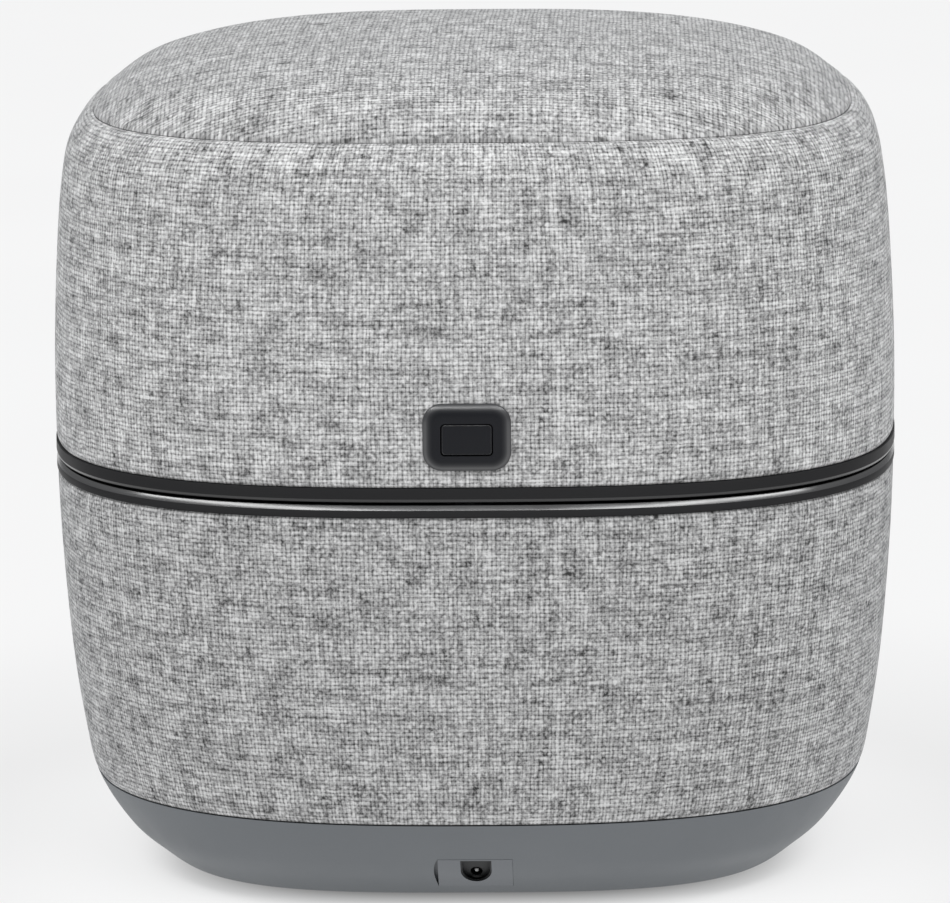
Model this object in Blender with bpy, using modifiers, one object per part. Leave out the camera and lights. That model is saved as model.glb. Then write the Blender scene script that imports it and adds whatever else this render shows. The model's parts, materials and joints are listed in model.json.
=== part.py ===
"""A fabric-covered smart speaker with a rear-hinged lid, as separate pieces.

Lengths are in metres. +Z is up, the latch button and the power inlet face -Y,
and the origin is under the middle of the object, on the surface it stands on.
Run with: blender --background --python part.py
"""

import math

import bmesh
import bpy
from mathutils import Matrix, Vector

# Driving dimensions of the outer form.
HEIGHT = 0.26025
BASE_BOTTOM = 0.0022
BASE_TOP = 0.0297
FABRIC_LOW = 0.0300
TRIM_LOW = 0.1261
TRIM_PARTING_LOW = 0.1298
TRIM_PARTING_HIGH = 0.1308
TRIM_HIGH = 0.1350
SEAM_HEIGHT = 0.2376
BAND_HALF_WIDTH = 0.1309
TRIM_SQUARENESS = 2.87

# The side view's outline, from the flat underside up and over to the middle of the top: half width, height.
OUTLINE = [
    (0.0880, 0.0022),
    (0.0950, 0.0032),
    (0.1030, 0.0088),
    (0.1118, 0.0163),
    (0.1203, 0.0285),
    (0.1238, 0.0430),
    (0.1275, 0.0710),
    (0.1303, 0.1107),
    (0.1311, 0.1550),
    (0.1299, 0.1900),
    (0.1279, 0.2150),
    (0.1244, 0.2300),
    (0.1150, 0.2400),
    (0.0990, 0.2495),
    (0.0640, 0.2566),
    (0.0000, HEIGHT),
]
# How square the plan is at a height: the exponent of a superellipse.
SQUARENESS = [
    (0.0, 3.2),
    (0.030, 2.65),
    (0.075, 2.8),
    (0.130, 2.87),
    (0.200, 2.98),
    (0.238, 3.08),
    (0.262, 3.0),
]

SEGMENTS = 36
GAP = 0.0003

# Depths below the outer surface.
FABRIC_THICK = 0.0012
SHELL_OUT = 0.0015
SHELL_IN = 0.0039
BASE_THICK = 0.0025
LINER_OUT = 0.0140
LINER_IN = 0.0160
RING_WIDTH = 0.0135
LOWER_TRIM_INNER = 0.1270

# Hinge at the back, latch at the front.
HINGE_Y = 0.1309
HINGE_Z = 0.1303
KNUCKLE_RADIUS = 0.0025
HINGE_HALF_LENGTH = 0.030
LATCH_Z = 0.1506
BUTTON_Z = 0.1500
BUTTON_SIZE = (0.0151, 0.00915)
BEZEL_SIZE = (0.0264, 0.0202)
HOOK_PIVOT = (0.0, -0.1212, 0.1365)

# Power inlet.
JACK_Z = 0.0118
JACK_FACE_Y = -0.0984
PORT_X = (-0.0106, 0.0121)
PORT_Z = (0.0089, 0.0175)

# Loudspeakers.
DRIVER_Z = 0.0820
DRIVER_RADIUS = 0.0330
DRIVER_FACE = 0.1190
WELL_HALF_WIDTH = 0.0750

DARK = (0.035, 0.036, 0.040)
MATERIALS = {
    "fabric": ((0.42, 0.42, 0.43), 0.95, 0.0),
    "base_grey": ((0.15, 0.16, 0.17), 0.55, 0.0),
    "gloss_dark": ((0.02, 0.02, 0.022), 0.22, 0.0),
    "soft_dark": (DARK, 0.45, 0.0),
    "inner_plastic": ((0.10, 0.10, 0.105), 0.6, 0.0),
    "rubber": ((0.02, 0.02, 0.02), 0.85, 0.0),
    "steel": ((0.60, 0.60, 0.62), 0.3, 1.0),
    "board": ((0.03, 0.12, 0.06), 0.5, 0.0),
    "aluminium": ((0.70, 0.70, 0.72), 0.35, 1.0),
    "cone": ((0.05, 0.05, 0.055), 0.7, 0.0),
    "mat": ((0.06, 0.06, 0.065), 0.9, 0.0),
}


def clear_scene():
    for obj in list(bpy.data.objects):
        bpy.data.objects.remove(obj, do_unlink=True)


def new_collection(name):
    group = bpy.data.collections.new(name)
    bpy.context.scene.collection.children.link(group)
    return group


def material(name):
    found = bpy.data.materials.get(name)
    if found:
        return found
    color, roughness, metallic = MATERIALS[name]
    made = bpy.data.materials.new(name)
    made.use_nodes = True
    shader = made.node_tree.nodes["Principled BSDF"]
    shader.inputs["Base Color"].default_value = (*color, 1.0)
    shader.inputs["Roughness"].default_value = roughness
    shader.inputs["Metallic"].default_value = metallic
    return made


def place_mesh(name, shape, finish):
    """Turns a bmesh into an object of the speaker, or into a hidden cutter if it has no finish."""
    bmesh.ops.recalc_face_normals(shape, faces=shape.faces)
    mesh = bpy.data.meshes.new(name)
    shape.to_mesh(mesh)
    shape.free()
    obj = bpy.data.objects.new(name, mesh)
    if finish:
        mesh.materials.append(material(finish))
        mesh.shade_smooth()
        mesh.set_sharp_from_angle(angle=math.radians(35))
        SPEAKER.objects.link(obj)
    else:
        obj.hide_render = True
        obj.display_type = "WIRE"
        CUTTERS.objects.link(obj)
    return obj


def change(piece, tool, operation="DIFFERENCE"):
    modifier = piece.modifiers.new(f"{operation.lower()}_{tool.name}", "BOOLEAN")
    modifier.operation = operation
    modifier.object = tool
    return piece


# Outline and plan.


def spline_point(points, place):
    """A point on the smooth curve through the points, by Catmull and Rom's rule."""
    last = len(points) - 1
    index = min(int(place), last - 1)
    share = place - index
    before = Vector(points[max(index - 1, 0)])
    start, end = Vector(points[index]), Vector(points[index + 1])
    after = Vector(points[min(index + 2, last)])
    square, cube = share * share, share * share * share
    return 0.5 * (
        2 * start
        + (end - before) * share
        + (2 * before - 5 * start + 4 * end - after) * square
        + (3 * start - before - 3 * end + after) * cube
    )


def outline_point(place, depth, level):
    """(half width, height) at a place on the outline, moved inward by a depth. A level move keeps the height."""
    step = 0.01
    low, high = max(place - step, 0.0), min(place + step, len(OUTLINE) - 1.0)
    along = (spline_point(OUTLINE, high) - spline_point(OUTLINE, low)).normalized()
    inward = Vector((-along.y, along.x))
    if level:
        inward = Vector((-1 / along.y, 0.0))
    return spline_point(OUTLINE, place) + inward * depth


def place_at_height(height):
    """The place on the outline that has this height."""
    low, high = 0.0, len(OUTLINE) - 1.0
    for _ in range(40):
        middle = (low + high) / 2
        if spline_point(OUTLINE, middle).y < height:
            low = middle
        else:
            high = middle
    return (low + high) / 2


def squareness(height):
    if height <= SQUARENESS[0][0]:
        return SQUARENESS[0][1]
    for (low, first), (high, second) in zip(SQUARENESS, SQUARENESS[1:]):
        if height <= high:
            return first + (second - first) * (height - low) / (high - low)
    return SQUARENESS[-1][1]


def ring(half_width, height, exponent=None):
    """One level of the plan: a superellipse of this half width. A half width of 0 is a single point."""
    if half_width < 1e-6:
        return [(0.0, 0.0, height)]
    power = exponent or squareness(height)
    points = []
    for step in range(SEGMENTS):
        angle = 2 * math.pi * step / SEGMENTS
        across, along = math.cos(angle), math.sin(angle)
        reach = half_width / (abs(across) ** power + abs(along) ** power) ** (1 / power)
        points.append((reach * across, reach * along, height))
    return points


def skin_rings(low_height, high_height, depth, count):
    """Levels of the outer skin between two heights, at a depth below the surface. HEIGHT is the top's middle."""
    middle_of_top = len(OUTLINE) - 1.0
    first = place_at_height(low_height)
    last = middle_of_top if high_height >= HEIGHT else place_at_height(high_height)
    rings = []
    for step in range(count + 1):
        place = first + (last - first) * step / count
        if place == middle_of_top:
            rings.append(ring(0.0, HEIGHT - depth))
            continue
        half_width, height = outline_point(place, depth, step in (0, count))
        rings.append(ring(half_width, height, squareness(spline_point(OUTLINE, place).y)))
    return rings


def loft(name, rings, finish, closed=False):
    """Joins ring after ring with faces. An open loft is capped at its ends, a closed one meets itself.

    Two single points in a row are the middles of an outer and an inner skin, which nothing joins.
    """
    shape = bmesh.new()
    rows = [[shape.verts.new(point) for point in points] for points in rings]
    pairs = list(zip(rows, rows[1:]))
    if closed:
        pairs.append((rows[-1], rows[0]))
    for low, high in pairs:
        count = max(len(low), len(high))
        if count == 1:
            continue
        for step in range(count):
            after = (step + 1) % count
            corners = []
            for row, index in ((low, step), (low, after), (high, after), (high, step)):
                corner = row[index % len(row)]
                if corner not in corners:
                    corners.append(corner)
            shape.faces.new(corners)
    if not closed:
        for row in (rows[0], rows[-1]):
            if len(row) > 2:
                shape.faces.new(row)
    return place_mesh(name, shape, finish)


# Simple solids.


def box(name, low, high, finish=None):
    """A box between two corners."""
    shape = bmesh.new()
    size = [b - a for a, b in zip(low, high)]
    middle = [(a + b) / 2 for a, b in zip(low, high)]
    bmesh.ops.create_cube(shape, size=1.0, matrix=Matrix.Diagonal((*size, 1.0)))
    obj = place_mesh(name, shape, finish)
    obj.location = middle
    return obj


def turn_to(axis):
    """The rotation that takes +Z to an axis."""
    return Vector((0, 0, 1)).rotation_difference(Vector(axis)).to_matrix().to_4x4()


def rod(name, centre, axis, radius, length, finish=None, sides=20):
    """A cylinder centred on a point, along an axis."""
    shape = bmesh.new()
    bmesh.ops.create_cone(
        shape, cap_ends=True, segments=sides, radius1=radius, radius2=radius, depth=length
    )
    obj = place_mesh(name, shape, finish)
    obj.matrix_world = Matrix.Translation(centre) @ turn_to(axis)
    return obj


def turned(name, profile, axis, origin, finish, steps=18):
    """A turned piece. Its profile is (radius, height along the axis), running down the outer side."""
    mesh = bpy.data.meshes.new(name)
    points = [(radius, 0.0, height) for radius, height in profile]
    on_axis = profile[0][0] == 0.0 and profile[-1][0] == 0.0
    edges = [(step, step + 1) for step in range(len(points) - 1)]
    if not on_axis:
        edges.append((len(points) - 1, 0))
    mesh.from_pydata(points, edges, [])
    obj = bpy.data.objects.new(name, mesh)
    mesh.materials.append(material(finish))
    SPEAKER.objects.link(obj)
    screw = obj.modifiers.new("turned", "SCREW")
    screw.steps = steps
    screw.render_steps = steps
    screw.use_merge_vertices = True
    screw.merge_threshold = 0.00001
    screw.use_smooth_shade = True
    obj.matrix_world = Matrix.Translation(origin) @ turn_to(axis)
    return obj


def prism_along_y(name, outlines, finish=None):
    """A solid along Y from outlines in X and Z, each given as (y, points)."""
    rings = [[(x, y, z) for x, z in points] for y, points in outlines]
    return loft(name, rings, finish)


def rounded_rectangle(width, height, radius, middle_z, steps=4):
    """Corner points of a rounded rectangle in X and Z."""
    points = []
    for quarter, (side, level) in enumerate([(1, 1), (-1, 1), (-1, -1), (1, -1)]):
        centre_x = side * (width / 2 - radius)
        centre_z = middle_z + level * (height / 2 - radius)
        for step in range(steps + 1):
            angle = math.radians(90 * quarter + 90 * step / steps)
            points.append((centre_x + radius * math.cos(angle), centre_z + radius * math.sin(angle)))
    return points


# The base half.


def jack_pocket_outline():
    """A D on its back: flat along the top, round below."""
    half, top, round_centre = 0.0046, 0.0168, 0.0148
    points = [(half, top), (-half, top)]
    for step in range(13):
        angle = math.pi + math.pi * step / 12
        points.append((half * math.cos(angle), round_centre + half * math.sin(angle)))
    return points


def base_pan_and_inlet():
    outer = skin_rings(BASE_BOTTOM, BASE_TOP, 0.0, 6)
    inner = skin_rings(BASE_BOTTOM, BASE_TOP, BASE_THICK, 6)[2:]
    floor = ring(0.0900, 0.0057)
    pan = loft("base_pan", outer + inner[::-1] + [floor], "base_grey")
    port = box(
        "port_cutter",
        (PORT_X[0] - GAP, -0.125, PORT_Z[0] - GAP),
        (PORT_X[1] + GAP, -0.085, PORT_Z[1] + GAP),
    )
    change(pan, port)

    low, high = PORT_Z[0] - 0.003, PORT_Z[1] + 0.003
    front = skin_rings(low, high, 0.0002, 6)
    back = skin_rings(low, high, 0.0022, 6)
    plate = loft("jack_plate", front + back[::-1], "base_grey", closed=True)
    window = box(
        "port_window", (PORT_X[0], -0.125, PORT_Z[0]), (PORT_X[1], -0.085, PORT_Z[1])
    )
    change(plate, window, "INTERSECT")
    pocket = prism_along_y(
        "pocket_cutter", [(-0.125, jack_pocket_outline()), (-0.090, jack_pocket_outline())]
    )
    change(plate, pocket)

    jack = box("dc_jack", (-0.0055, JACK_FACE_Y, PORT_Z[0]), (0.0055, -0.0860, 0.0172), "soft_dark")
    bore_depth = 0.0090
    bore = rod("jack_bore", (0, JACK_FACE_Y, JACK_Z), (0, 1, 0), 0.0019, 2 * bore_depth)
    change(jack, bore)
    rod(
        "dc_jack_pin",
        (0, JACK_FACE_Y + bore_depth / 2 + 0.0001, JACK_Z),
        (0, 1, 0),
        0.00065,
        bore_depth - 0.0008,
        "steel",
        sides=12,
    )
    box("power_board", (-0.0240, -0.0955, 0.0070), (0.0240, -0.0560, 0.0086), "board")
    return pan


def feet_and_screws(pan):
    foot_reach, foot_radius, foot_height = 0.058, 0.009, 0.0019
    screw_places = {
        "front_left": (-0.076, -0.030),
        "front_right": (0.076, -0.030),
        "rear_left": (-0.076, 0.030),
        "rear_right": (0.076, 0.030),
    }
    for corner, (screw_x, screw_y) in screw_places.items():
        foot_x = math.copysign(foot_reach, screw_x)
        foot_y = math.copysign(foot_reach, screw_y)
        rod(
            f"foot_{corner}",
            (foot_x, foot_y, foot_height / 2),
            (0, 0, 1),
            foot_radius,
            foot_height,
            "rubber",
        )
        hole = rod(f"hole_{corner}", (screw_x, screw_y, 0.004), (0, 0, 1), 0.0019, 0.010, sides=16)
        seat = rod(f"seat_{corner}", (screw_x, screw_y, 0.0022), (0, 0, 1), 0.0036, 0.0044, sides=16)
        change(change(pan, hole), seat)
        turned(
            f"base_screw_{corner}",
            [(0.0, 0.0260), (0.0015, 0.0260), (0.0015, 0.0041), (0.0031, 0.0041), (0.0031, 0.0026), (0.0, 0.0026)],
            (0, 0, 1),
            (screw_x, screw_y, 0),
            "steel",
            steps=12,
        )
        turned(
            f"standoff_{corner}",
            [(0.0042, 0.0299), (0.0042, 0.0060), (0.0019, 0.0060), (0.0019, 0.0299)],
            (0, 0, 1),
            (screw_x, screw_y, 0),
            "aluminium",
            steps=12,
        )


def lower_body():
    flange_half_width, flange_thick = 0.068, 0.0028
    wall_low, wall_high = FABRIC_LOW + 0.0002, TRIM_LOW - 0.0004
    outer = skin_rings(wall_low, wall_high, SHELL_OUT, 4)
    inner = skin_rings(wall_low + flange_thick, wall_high, SHELL_IN, 4)
    flange = [ring(flange_half_width, wall_low + flange_thick), ring(flange_half_width, wall_low)]
    shell = loft("lower_shell", outer + inner[::-1] + flange, "inner_plastic", closed=True)
    sound_radius = 0.0285
    for name, axis in (("x", (1, 0, 0)), ("y", (0, 1, 0))):
        change(shell, rod(f"sound_hole_{name}", (0, 0, DRIVER_Z), axis, sound_radius, 0.30, sides=18))

    cover_high = TRIM_LOW - GAP
    outside = skin_rings(FABRIC_LOW, cover_high, 0.0, 5)
    inside = skin_rings(FABRIC_LOW, cover_high, FABRIC_THICK, 5)
    loft("lower_fabric", outside + inside[::-1], "fabric", closed=True)

    half = BAND_HALF_WIDTH
    trim = [
        ring(LOWER_TRIM_INNER, TRIM_LOW),
        ring(half + 0.0002, TRIM_LOW),
        ring(half + 0.0002, 0.1286),
        ring(half - 0.0010, TRIM_PARTING_LOW),
        ring(LOWER_TRIM_INNER, TRIM_PARTING_LOW),
    ]
    lower_trim = loft("lower_trim", trim, "gloss_dark", closed=True)
    hinge_slot = box(
        "lower_hinge_slot",
        (-HINGE_HALF_LENGTH - 0.0004, 0.1212, 0.120),
        (HINGE_HALF_LENGTH + 0.0004, 0.1400, 0.132),
    )
    change(lower_trim, hinge_slot)
    rim_plates(hinge_slot)


def rim_plates(hinge_slot):
    """Two half rings between the trim and the tray's deck, apart at the front where the hook comes down."""
    plate_low, plate_high = TRIM_LOW, 0.1294
    inner, outer = 0.1171, LOWER_TRIM_INNER - GAP
    hook_gap = box("hook_gap", (-0.0086, -0.1300, 0.120), (0.0086, -0.1100, 0.132))
    for side, left, right in (("left", -0.14, -GAP / 2), ("right", GAP / 2, 0.14)):
        plate = loft(
            f"rim_plate_{side}",
            [
                ring(inner, plate_low, TRIM_SQUARENESS),
                ring(outer, plate_low, TRIM_SQUARENESS),
                ring(outer, plate_high, TRIM_SQUARENESS),
                ring(inner, plate_high, TRIM_SQUARENESS),
            ],
            "inner_plastic",
            closed=True,
        )
        change(plate, box(f"half_{side}", (left, -0.14, 0.12), (right, 0.14, 0.14)), "INTERSECT")
        change(change(plate, hook_gap), hinge_slot)


def tray():
    deck_high, deck_low = 0.1283, 0.1263
    ledge_high, ledge_low = 0.1258, 0.1238
    floor_low, floor_high = 0.0333, 0.0353
    edge, ledge = 0.1168, 0.1235
    wall = WELL_HALF_WIDTH
    square = 5.5
    rings = [
        ring(wall - 0.001, floor_high, square),
        ring(wall + 0.001, deck_high, square),
        ring(edge, deck_high, TRIM_SQUARENESS),
        ring(edge, ledge_high, TRIM_SQUARENESS),
        ring(ledge, ledge_high, TRIM_SQUARENESS),
        ring(ledge, ledge_low, TRIM_SQUARENESS),
        ring(edge - 0.002, ledge_low, TRIM_SQUARENESS),
        ring(edge - 0.002, deck_low, TRIM_SQUARENESS),
        ring(wall + 0.003, deck_low, square),
        ring(wall + 0.001, floor_low, square),
    ]
    piece = loft("inner_tray", rings, "inner_plastic")
    pocket = box("striker_pocket", (-0.0083, -0.1300, 0.120), (0.0083, -0.1117, 0.131))
    leaf_gap = box(
        "leaf_pocket",
        (-HINGE_HALF_LENGTH - GAP, 0.1180, 0.120),
        (HINGE_HALF_LENGTH + GAP, 0.1300, 0.1262),
    )
    front_gap = box("front_gap", (-0.1300, -0.1300, 0.120), (0.1300, -0.1170, 0.1262))
    change(change(change(piece, pocket), leaf_gap), front_gap)
    box("latch_striker", (-0.0080, -0.1175, 0.1259), (0.0080, -0.1120, 0.1283), "steel")
    mat_half = wall - 0.002
    loft(
        "well_mat",
        [ring(mat_half, floor_high + GAP, square), ring(mat_half, floor_high + 0.0015, square)],
        "mat",
    )


def boards():
    box("main_board", (-0.050, -0.025, 0.0100), (0.050, 0.055, 0.0116), "board")
    fin_count, fin_width, slot_width = 6, 0.0016, 0.0040
    low, plate_top, fin_top = 0.0119, 0.0142, 0.0260
    pitch = fin_width + slot_width
    start = -(fin_count * pitch - slot_width) / 2
    comb = [(start, low)]
    for index in range(fin_count):
        left = start + index * pitch
        right = left + fin_width
        comb += [(left, fin_top), (right, fin_top)]
        if index < fin_count - 1:
            comb += [(right, plate_top), (right + slot_width, plate_top)]
    comb.append((start + fin_count * pitch - slot_width, low))
    prism_along_y("heat_sink", [(0.000, comb), (0.040, comb)], "aluminium")


def loudspeaker(side, axis):
    """A full-range driver behind the shell, facing along an axis."""
    origin = (0, 0, DRIVER_Z)
    face = DRIVER_FACE
    turned(
        f"driver_basket_{side}",
        [
            (DRIVER_RADIUS, face),
            (DRIVER_RADIUS, face - 0.002),
            (0.0298, face - 0.002),
            (0.0170, face - 0.0247),
            (0.0090, face - 0.0247),
            (0.0090, face - 0.0230),
            (0.0160, face - 0.0230),
            (0.0283, face - 0.0015),
            (0.0283, face),
        ],
        axis,
        origin,
        "inner_plastic",
    )
    turned(
        f"driver_magnet_{side}",
        [
            (0.0, face - 0.0200),
            (0.0062, face - 0.0200),
            (0.0062, face - 0.0250),
            (0.0175, face - 0.0250),
            (0.0175, face - 0.0385),
            (0.0, face - 0.0385),
        ],
        axis,
        origin,
        "steel",
        steps=16,
    )
    surround(f"driver_surround_{side}", axis, origin)
    turned(
        f"driver_cone_{side}",
        [
            (0.0, face - 0.0100),
            (0.0045, face - 0.0108),
            (0.0085, face - 0.0130),
            (0.0220, face - 0.0012),
            (0.0220, face - 0.0022),
            (0.0080, face - 0.0150),
            (0.0080, face - 0.0205),
            (0.0070, face - 0.0205),
            (0.0070, face - 0.0145),
            (0.0, face - 0.0125),
        ],
        axis,
        origin,
        "cone",
    )


def surround(name, axis, origin):
    face = DRIVER_FACE
    turned(
        name,
        [
            (0.0252, face + 0.0016),
            (0.0280, face - 0.0004),
            (0.0280, face - 0.0014),
            (0.0252, face + 0.0006),
            (0.0224, face - 0.0014),
            (0.0224, face - 0.0004),
        ],
        axis,
        origin,
        "rubber",
    )


def passive_radiator(side, axis):
    """A weighted panel with no coil, which the air inside moves."""
    origin = (0, 0, DRIVER_Z)
    face = DRIVER_FACE
    turned(
        f"passive_frame_{side}",
        [
            (DRIVER_RADIUS, face),
            (DRIVER_RADIUS, face - 0.005),
            (0.0300, face - 0.005),
            (0.0283, face - 0.0025),
            (0.0283, face),
        ],
        axis,
        origin,
        "inner_plastic",
    )
    surround(f"passive_surround_{side}", axis, origin)
    turned(
        f"passive_cone_{side}",
        [(0.0, face + 0.0004), (0.0220, face - 0.0008), (0.0220, face - 0.0032), (0.0, face - 0.0032)],
        axis,
        origin,
        "cone",
    )


# The hinge, the lid and the latch.


def hinge():
    length = HINGE_HALF_LENGTH
    middle_half = 0.0100
    leaf_back, leaf_front, bar_back = 0.1232, 0.1216, 0.1280

    base_leaf = box(
        "hinge_base_leaf", (-length, leaf_front, 0.1005), (length, leaf_back, 0.1290), "steel"
    )
    change(base_leaf, box("base_bar", (-length, 0.1220, 0.1264), (length, bar_back, 0.1295)), "UNION")
    lid_leaf = box(
        "hinge_lid_leaf", (-length, leaf_front, 0.1311), (length, leaf_back, 0.1500), "steel"
    )
    change(lid_leaf, box("lid_bar", (-length, 0.1220, 0.1312), (length, bar_back, 0.1346)), "UNION")

    gap = GAP / 2
    for side in (-1, 1):
        inner, outer = side * (middle_half + gap), side * length
        left, right = min(inner, outer), max(inner, outer)
        change(
            base_leaf, box(f"base_arm_{side}", (left, 0.1270, 0.1281), (right, HINGE_Y, 0.1297)), "UNION"
        )
        centre = ((left + right) / 2, HINGE_Y, HINGE_Z)
        knuckle = rod(f"base_knuckle_{side}", centre, (1, 0, 0), KNUCKLE_RADIUS, right - left, sides=16)
        change(base_leaf, knuckle, "UNION")
    change(
        lid_leaf,
        box("lid_arm", (-middle_half + gap, 0.1270, 0.1314), (middle_half - gap, HINGE_Y, 0.1326)),
        "UNION",
    )
    knuckle = rod(
        "lid_knuckle", (0, HINGE_Y, HINGE_Z), (1, 0, 0), KNUCKLE_RADIUS, 2 * (middle_half - gap), sides=16
    )
    change(lid_leaf, knuckle, "UNION")
    bore = rod("hinge_bore", (0, HINGE_Y, HINGE_Z), (1, 0, 0), 0.0014, 0.08, sides=16)
    change(base_leaf, bore)
    change(lid_leaf, bore)
    rod("hinge_pin", (0, HINGE_Y, HINGE_Z), (1, 0, 0), 0.0010, 2 * length, "steel", sides=16)


def lid_covers():
    neck = prism_along_y(
        "neck_cutter",
        [
            (depth, rounded_rectangle(0.0226, 0.0166, 0.003, LATCH_Z))
            for depth in (-0.1400, -0.1180)
        ],
    )
    shell_low, seam = TRIM_HIGH + GAP, SEAM_HEIGHT
    outer = skin_rings(shell_low, seam, SHELL_OUT, 7)[:-1] + skin_rings(seam, HEIGHT, SHELL_OUT, 4)
    inner = skin_rings(shell_low, seam, SHELL_IN, 7)[:-1] + skin_rings(seam, HEIGHT, SHELL_IN, 4)
    change(loft("lid_shell", outer + inner[::-1], "inner_plastic", closed=True), neck)

    outside = skin_rings(TRIM_HIGH + 0.0002, seam - 0.0002, 0.0, 7)
    inside = skin_rings(TRIM_HIGH + 0.0002, seam - 0.0002, FABRIC_THICK, 7)
    change(loft("lid_side_fabric", outside + inside[::-1], "fabric", closed=True), neck)
    outside = skin_rings(seam + 0.0002, HEIGHT, 0.0, 4)
    inside = skin_rings(seam + 0.0002, HEIGHT, FABRIC_THICK, 4)
    loft("lid_top_fabric", outside + inside[::-1], "fabric", closed=True)

    half = BAND_HALF_WIDTH
    rings = [
        ring(half - RING_WIDTH, TRIM_PARTING_HIGH),
        ring(half - 0.0006, TRIM_PARTING_HIGH),
        ring(half + 0.0003, 0.1316),
        ring(half + 0.0003, TRIM_HIGH),
        ring(half - RING_WIDTH, TRIM_HIGH),
    ]
    upper_trim = loft("upper_trim", rings, "gloss_dark", closed=True)
    latch_slot = box("upper_latch_slot", (-0.0076, -0.1270, 0.130), (0.0076, -0.1150, 0.136))
    hinge_slot = box(
        "upper_hinge_slot",
        (-HINGE_HALF_LENGTH - 0.0004, 0.1212, 0.130),
        (HINGE_HALF_LENGTH + 0.0004, 0.1400, 0.136),
    )
    change(change(upper_trim, latch_slot), hinge_slot)


def lid_inside():
    low = 0.1312
    outer = skin_rings(low, HEIGHT, LINER_OUT, 7)
    inner = skin_rings(low, HEIGHT, LINER_IN, 7)
    loft("lid_liner", outer + inner[::-1], "inner_plastic", closed=True)
    gasket_low, gasket_high = 0.1286, 0.1309
    rings = [
        ring(0.1125, gasket_low),
        ring(0.1166, gasket_low),
        ring(0.1166, gasket_high),
        ring(0.1125, gasket_high),
    ]
    loft("lid_gasket", rings, "rubber", closed=True)
    rod("mic_board", (0, 0, 0.2500), (0, 0, 1), 0.028, 0.0016, "board", sides=24)


def latch():
    button_width, button_height = BUTTON_SIZE
    bezel_width, bezel_height = BEZEL_SIZE

    def bezel_outline(inset, radius):
        return rounded_rectangle(bezel_width - 2 * inset, bezel_height - 2 * inset, radius, LATCH_Z)

    neck = rounded_rectangle(0.0220, 0.0160, 0.0028, LATCH_Z)
    bezel = prism_along_y(
        "latch_bezel",
        [
            (-0.1271, neck),
            (-0.1314, neck),
            (-0.1314, bezel_outline(0.0, 0.0050)),
            (-0.1322, bezel_outline(0.0, 0.0050)),
            (-0.1329, bezel_outline(0.0006, 0.0044)),
            (-0.1334, bezel_outline(0.0020, 0.0032)),
        ],
        "soft_dark",
    )
    hole = rounded_rectangle(button_width + 2 * GAP, button_height + 2 * GAP, 0.0013, BUTTON_Z)
    change(bezel, prism_along_y("button_hole", [(-0.140, hole), (-0.120, hole)]))

    def button_outline(inset):
        return rounded_rectangle(button_width - 2 * inset, button_height - 2 * inset, 0.0010, BUTTON_Z)

    button = prism_along_y(
        "latch_button",
        [
            (-0.1287, button_outline(0.0)),
            (-0.1327, button_outline(0.0)),
            (-0.1330, button_outline(0.0003)),
        ],
        "soft_dark",
    )
    stem_tip, stem_root = -0.1229, -0.1290
    stem = rod(
        "button_stem",
        (0, (stem_tip + stem_root) / 2, BUTTON_Z),
        (0, 1, 0),
        0.0015,
        stem_tip - stem_root,
        sides=16,
    )
    change(button, stem, "UNION")

    coil = bpy.data.curves.new("button_spring", "CURVE")
    coil.dimensions = "3D"
    coil.bevel_depth = 0.00018
    coil.bevel_resolution = 2
    coil.use_fill_caps = True
    turns, points_per_turn, coil_radius = 2.5, 12, 0.0027
    count = int(turns * points_per_turn) + 1
    start, end = -0.1281, -0.1256
    wire = coil.splines.new("POLY")
    wire.points.add(count - 1)
    for index in range(count):
        share = index / (count - 1)
        angle = 2 * math.pi * turns * share
        wire.points[index].co = (
            coil_radius * math.cos(angle),
            start + (end - start) * share,
            BUTTON_Z + coil_radius * math.sin(angle),
            1.0,
        )
    spring = bpy.data.objects.new("button_spring", coil)
    coil.materials.append(material("steel"))
    SPEAKER.objects.link(spring)

    housing = box("latch_housing", (-0.0130, -0.1252, 0.1446), (0.0130, -0.1236, 0.1620), "inner_plastic")
    for side in (-1, 1):
        rib = sorted((side * 0.0110, side * 0.0130))
        cheek = sorted((side * 0.0052, side * 0.0072))
        change(
            housing, box(f"rib_{side}", (rib[0], -0.1268, 0.1446), (rib[1], -0.1240, 0.1620)), "UNION"
        )
        change(
            housing, box(f"cheek_{side}", (cheek[0], -0.1245, 0.1334), (cheek[1], -0.1182, 0.1500)), "UNION"
        )
    change(housing, rod("stem_hole", (0, -0.1244, BUTTON_Z), (0, 1, 0), 0.0019, 0.006, sides=16))
    pin_length = 0.0150
    change(housing, rod("pin_hole", HOOK_PIVOT, (1, 0, 0), 0.0018, 0.03, sides=16))
    rod("hook_pin", HOOK_PIVOT, (1, 0, 0), 0.0014, pin_length, "steel", sides=16)

    half, front, back = 0.0040, -0.1224, -0.1200
    hook = box("latch_hook", (-half, front, 0.1228), (half, back, 0.1525), "steel")
    change(hook, rod("hook_boss", HOOK_PIVOT, (1, 0, 0), 0.0030, 2 * half, sides=16), "UNION")
    change(hook, box("hook_nose", (-half, -0.1210, 0.1228), (half, -0.1178, 0.1256)), "UNION")
    change(hook, rod("hook_bore", HOOK_PIVOT, (1, 0, 0), 0.0018, 0.03, sides=16))


clear_scene()
SPEAKER = new_collection("smart_speaker")
CUTTERS = new_collection("cutters")
base_pan = base_pan_and_inlet()
feet_and_screws(base_pan)
lower_body()
tray()
boards()
loudspeaker("left", (-1, 0, 0))
loudspeaker("right", (1, 0, 0))
passive_radiator("front", (0, -1, 0))
passive_radiator("rear", (0, 1, 0))
hinge()
lid_covers()
lid_inside()
latch()
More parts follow.
